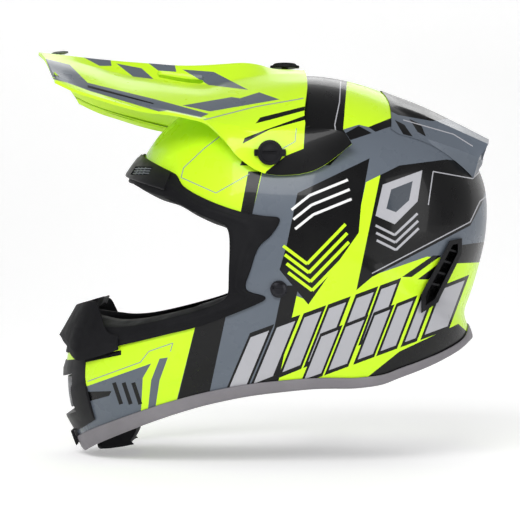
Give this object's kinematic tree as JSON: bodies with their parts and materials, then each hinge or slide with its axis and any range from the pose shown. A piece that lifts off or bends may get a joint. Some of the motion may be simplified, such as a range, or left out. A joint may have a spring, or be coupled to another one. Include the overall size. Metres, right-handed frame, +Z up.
{
  "type": "motocross helmet",
  "caption": "Full-face off-road helmet with a long tilting visor, open eyeport, chin vent with a shutter, foam liner, cheek pads and a double D-ring chin strap.",
  "frame": {"origin": "centre of the wearer's head, on the helmet's mid-plane", "axes": "+X forward out of the eyeport, +Y towards the wearer's left, +Z up, as worn"},
  "size_m": [0.3719, 0.2506, 0.3316],
  "materials": {
    "painted_shell": "neon yellow, grey and black paint under a gloss clear coat",
    "painted_spoiler": "grey paint under a gloss clear coat",
    "visor_plastic": "neon yellow plastic with printed grey and black areas",
    "black_rubber": "matte",
    "grey_rubber": "matte",
    "black_plastic": "satin",
    "grey_plastic": "satin",
    "steel_mesh": "expanded metal mesh",
    "bright_steel": "zinc plated",
    "black_metal": "gloss black",
    "eps_foam": "expanded polystyrene beads, painted black",
    "liner_fabric": "knitted polyester over soft foam",
    "webbing": "woven polyester webbing"
  },
  "bodies": {
    "helmet": {"outer_shell": "painted_shell", "rear_spoiler": "painted_spoiler", "eyeport_trim": "black_rubber", "base_trim": "grey_rubber", "base_trim_clip": "black_plastic", "brow_vent": "black_plastic", "brow_vent_mesh": "grey_plastic", "nose_guard": "black_rubber", "chin_vent_housing": "black_plastic", "chin_vent_mesh": "steel_mesh", "chin_curtain": "black_rubber", "rear_exhaust_left": "black_plastic", "rear_exhaust_right": "black_plastic", "spoiler_vent_grilles": "black_plastic", "eps_liner": "eps_foam", "chin_eps": "eps_foam", "comfort_liner": "liner_fabric", "neck_roll": "liner_fabric", "cheek_pad_left": "liner_fabric", "cheek_pad_right": "liner_fabric", "cheek_pad_plate_left": "grey_plastic", "cheek_pad_plate_right": "grey_plastic", "pad_snaps": "bright_steel", "strap_rivets": "black_metal", "strap_anchor_left": "bright_steel", "strap_anchor_right": "bright_steel", "chin_strap_left": "webbing", "chin_strap_right": "webbing", "strap_tail": "webbing", "strap_snap_stud": "black_plastic", "strap_snap_socket": "black_plastic", "visor_inserts": "bright_steel"},
    "visor": {"visor": "visor_plastic", "visor_badge": "grey_plastic", "visor_spacers": "black_rubber"},
    "visor_screw_left": {"visor_screw_left": "black_plastic"},
    "visor_screw_right": {"visor_screw_right": "black_plastic"},
    "visor_screw_top": {"visor_screw_top": "black_plastic"},
    "vent_shutter": {"chin_vent_shutter": "black_plastic", "chin_vent_lever": "grey_plastic"},
    "d_ring_inner": {"d_ring_inner": "bright_steel"},
    "d_ring_outer": {"d_ring_outer": "bright_steel"}
  },
  "joints": [
    {"name": "visor_tilt", "type": "hinge", "parent": "helmet", "child": "visor", "pos_m": [0.0357, 0, 0.061], "axis": [0, -1, 0], "range_deg": [-6, 3]},
    {"name": "visor_screw_left_turn", "type": "hinge", "parent": "helmet", "child": "visor_screw_left", "pos_m": [0.0357, 0.119, 0.061], "axis": [0, 1, 0], "continuous": true},
    {"name": "visor_screw_right_turn", "type": "hinge", "parent": "helmet", "child": "visor_screw_right", "pos_m": [0.0357, -0.119, 0.061], "axis": [0, -1, 0], "continuous": true},
    {"name": "visor_screw_top_turn", "type": "hinge", "parent": "helmet", "child": "visor_screw_top", "pos_m": [0.0227, 0, 0.139], "axis": [0, 0, 1], "continuous": true},
    {"name": "vent_shutter_slide", "type": "slide", "parent": "helmet", "child": "vent_shutter", "axis": [0, 0, 1], "range_m": [0, 0.0035]},
    {"name": "d_ring_inner_swing", "type": "hinge", "parent": "helmet", "child": "d_ring_inner", "pos_m": [0.031, 0.04, -0.1107], "axis": [-1, 0, 0], "range_deg": [0, 7]},
    {"name": "d_ring_outer_swing", "type": "hinge", "parent": "helmet", "child": "d_ring_outer", "pos_m": [0.031, 0.04, -0.1153], "axis": [1, 0, 0], "range_deg": [0, 7]}
  ]
}
